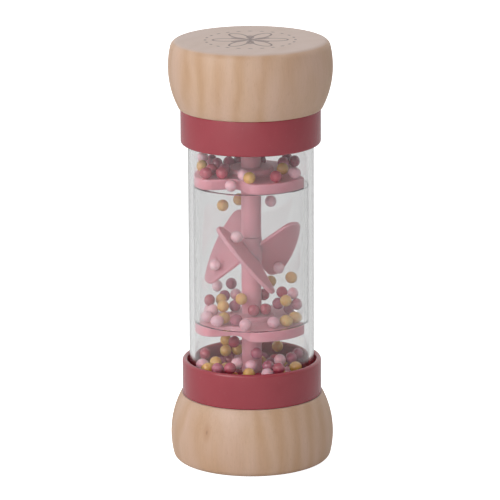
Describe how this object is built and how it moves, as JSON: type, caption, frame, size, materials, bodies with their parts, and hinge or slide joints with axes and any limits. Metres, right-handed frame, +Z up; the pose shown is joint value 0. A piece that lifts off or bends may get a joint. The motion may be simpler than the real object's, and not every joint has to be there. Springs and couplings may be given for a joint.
{
  "type": "rainstick",
  "caption": "Small rainstick: turned wooden caps and rose collars hold a clear tube with notched discs, a spinning propeller and coloured beads that run down inside.",
  "frame": {"origin": "centre of the base cap's flat end, on the surface that the stick stands on", "axes": "+Z up along the stick's axis, from the base cap to the top cap; -Y towards the viewer who sees the first notch of each disc at the right; +X to that viewer's right"},
  "size_m": [0.055, 0.055, 0.144],
  "materials": {
    "beech": "satin",
    "collar_plastic": "satin",
    "clear_plastic": "gloss",
    "pink_plastic": "satin",
    "steel": "satin",
    "blush_bead": "gloss",
    "rose_bead": "gloss",
    "plum_bead": "gloss",
    "ochre_bead": "gloss"
  },
  "bodies": {
    "stick": {"base_cap": "beech", "top_cap": "beech", "lower_collar": "collar_plastic", "upper_collar": "collar_plastic", "lower_cap_screws": "steel", "upper_cap_screws": "steel", "tube": "clear_plastic", "spacer_sleeve": "clear_plastic", "lower_shaft": "pink_plastic", "upper_shaft": "pink_plastic", "lower_disc": "pink_plastic", "upper_disc": "pink_plastic"},
    "propeller": {"propeller": "pink_plastic", "blade_beads": "blush_bead", "tumbling_bead": "ochre_bead"},
    "upper_pile": {"upper_blush_beads": "blush_bead", "upper_rose_beads": "rose_bead", "upper_plum_beads": "plum_bead", "upper_ochre_beads": "ochre_bead"},
    "middle_pile": {"middle_blush_beads": "blush_bead", "middle_rose_beads": "rose_bead", "middle_plum_beads": "plum_bead", "middle_ochre_beads": "ochre_bead"},
    "lower_pile": {"lower_blush_beads": "blush_bead", "lower_rose_beads": "rose_bead", "lower_plum_beads": "plum_bead", "lower_ochre_beads": "ochre_bead"},
    "notch_bead": {"notch_bead": "blush_bead"},
    "falling_bead_left": {"falling_bead_left": "ochre_bead"},
    "falling_bead_back": {"falling_bead_back": "ochre_bead"},
    "falling_bead_right": {"falling_bead_right": "blush_bead"},
    "landing_bead_back": {"landing_bead_back": "ochre_bead"},
    "landing_bead_shaft": {"landing_bead_shaft": "rose_bead"},
    "landing_bead_front": {"landing_bead_front": "ochre_bead"},
    "last_bead_left": {"last_bead_left": "rose_bead"},
    "last_bead_front": {"last_bead_front": "plum_bead"}
  },
  "joints": [
    {"name": "propeller_spin", "type": "hinge", "parent": "stick", "child": "propeller", "pos_m": [0, 0, 0.072], "axis": [0, 0, 1], "continuous": true},
    {"name": "upper_pile_shake", "type": "slide", "parent": "stick", "child": "upper_pile", "axis": [0, 0, 1], "range_m": [0, 0.012]},
    {"name": "middle_pile_shake", "type": "slide", "parent": "stick", "child": "middle_pile", "axis": [0, 0, 1], "range_m": [0, 0.0008]},
    {"name": "lower_pile_shake", "type": "slide", "parent": "stick", "child": "lower_pile", "axis": [0, 0, 1], "range_m": [0, 0.0048]},
    {"name": "notch_bead_fall", "type": "slide", "parent": "stick", "child": "notch_bead", "axis": [0, 0, 1], "range_m": [-0.0121, 0.0187]},
    {"name": "falling_bead_left_fall", "type": "slide", "parent": "stick", "child": "falling_bead_left", "axis": [0, 0, 1], "range_m": [-0.0025, 0.0052]},
    {"name": "falling_bead_back_fall", "type": "slide", "parent": "stick", "child": "falling_bead_back", "axis": [0, 0, 1], "range_m": [-0.0028, 0.0049]},
    {"name": "falling_bead_right_fall", "type": "slide", "parent": "stick", "child": "falling_bead_right", "axis": [0, 0, 1], "range_m": [-0.0027, 0.005]},
    {"name": "landing_bead_back_fall", "type": "slide", "parent": "stick", "child": "landing_bead_back", "axis": [0, 0, 1], "range_m": [-0.0072, 0.0002]},
    {"name": "landing_bead_shaft_fall", "type": "slide", "parent": "stick", "child": "landing_bead_shaft", "axis": [0, 0, 1], "range_m": [-0.0028, 0.0029]},
    {"name": "landing_bead_front_fall", "type": "slide", "parent": "stick", "child": "landing_bead_front", "axis": [0, 0, 1], "range_m": [-0.0037, 0.002]},
    {"name": "last_bead_left_fall", "type": "slide", "parent": "stick", "child": "last_bead_left", "axis": [0, 0, 1], "range_m": [-0.0113, 0.0037]},
    {"name": "last_bead_front_fall", "type": "slide", "parent": "stick", "child": "last_bead_front", "axis": [0, 0, 1], "range_m": [-0.007, 0.005]}
  ]
}
